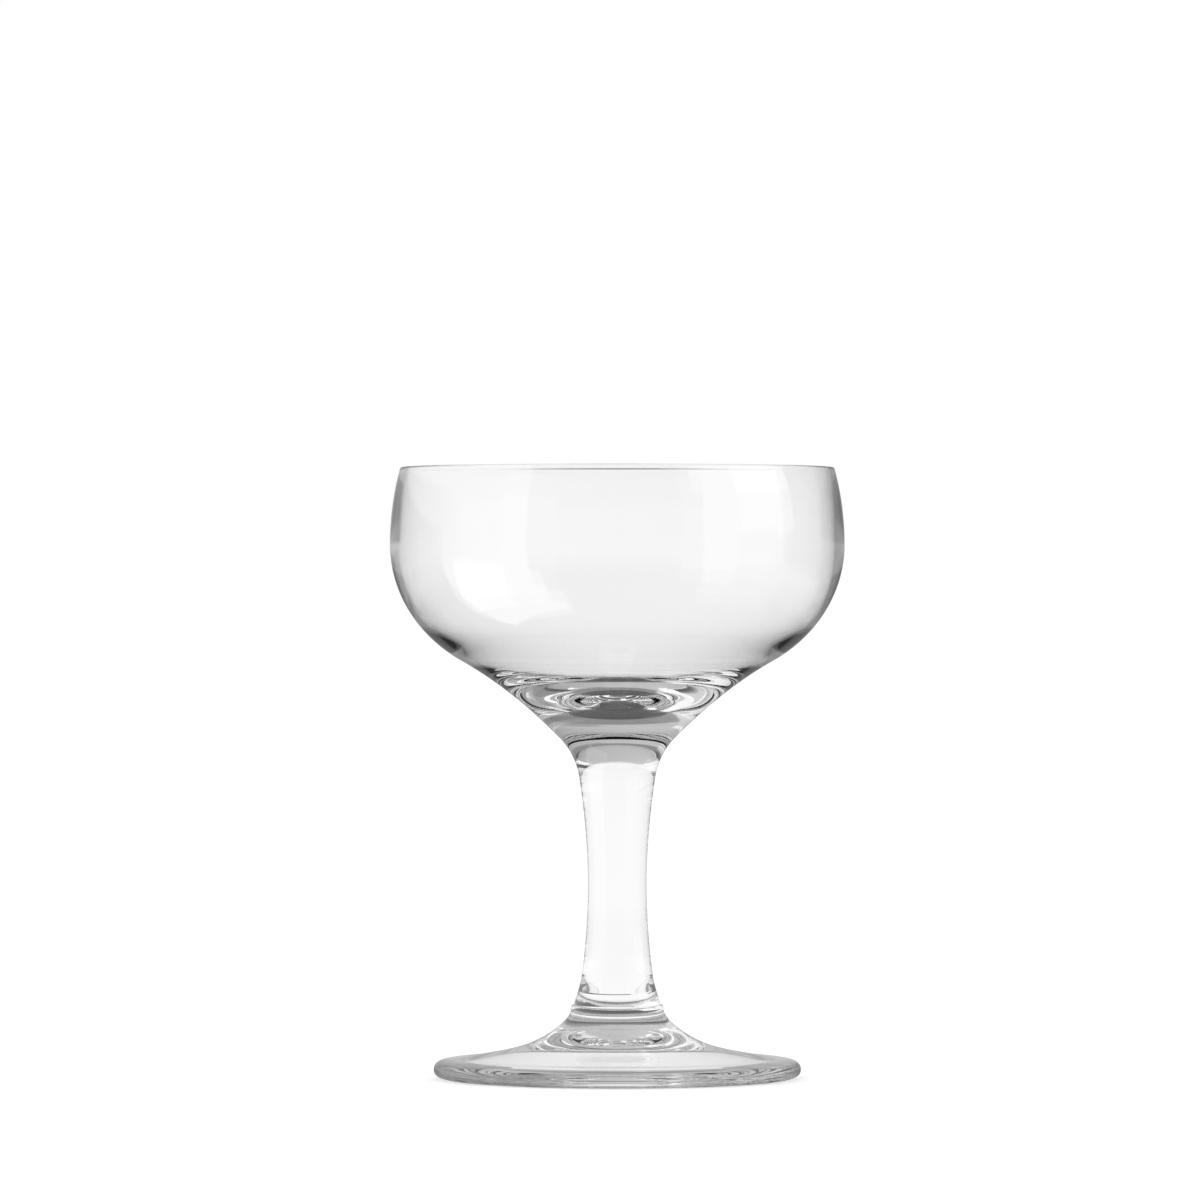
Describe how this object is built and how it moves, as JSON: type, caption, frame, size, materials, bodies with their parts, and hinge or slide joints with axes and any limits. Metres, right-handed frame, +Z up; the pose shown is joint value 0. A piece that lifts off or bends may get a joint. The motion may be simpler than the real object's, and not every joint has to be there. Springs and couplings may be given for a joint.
{
  "type": "coupe glass",
  "caption": "Clear stemmed coupe glass: a shallow rounded bowl turned in at the rim, on a short solid waisted stem and a flared round foot.",
  "frame": {"origin": "middle of the plane that the foot stands on", "axes": "+Z up along the axis of the glass; it is round, so X and Y are any two level directions"},
  "size_m": [0.0948, 0.0946, 0.1274],
  "materials": {
    "bowl_glass": "clear, fire-polished",
    "stem_glass": "clear, fire-polished",
    "foot_glass": "clear, fire-polished"
  },
  "bodies": {
    "root": {"bowl": "bowl_glass", "stem": "stem_glass", "foot": "foot_glass"}
  },
  "joints": []
}
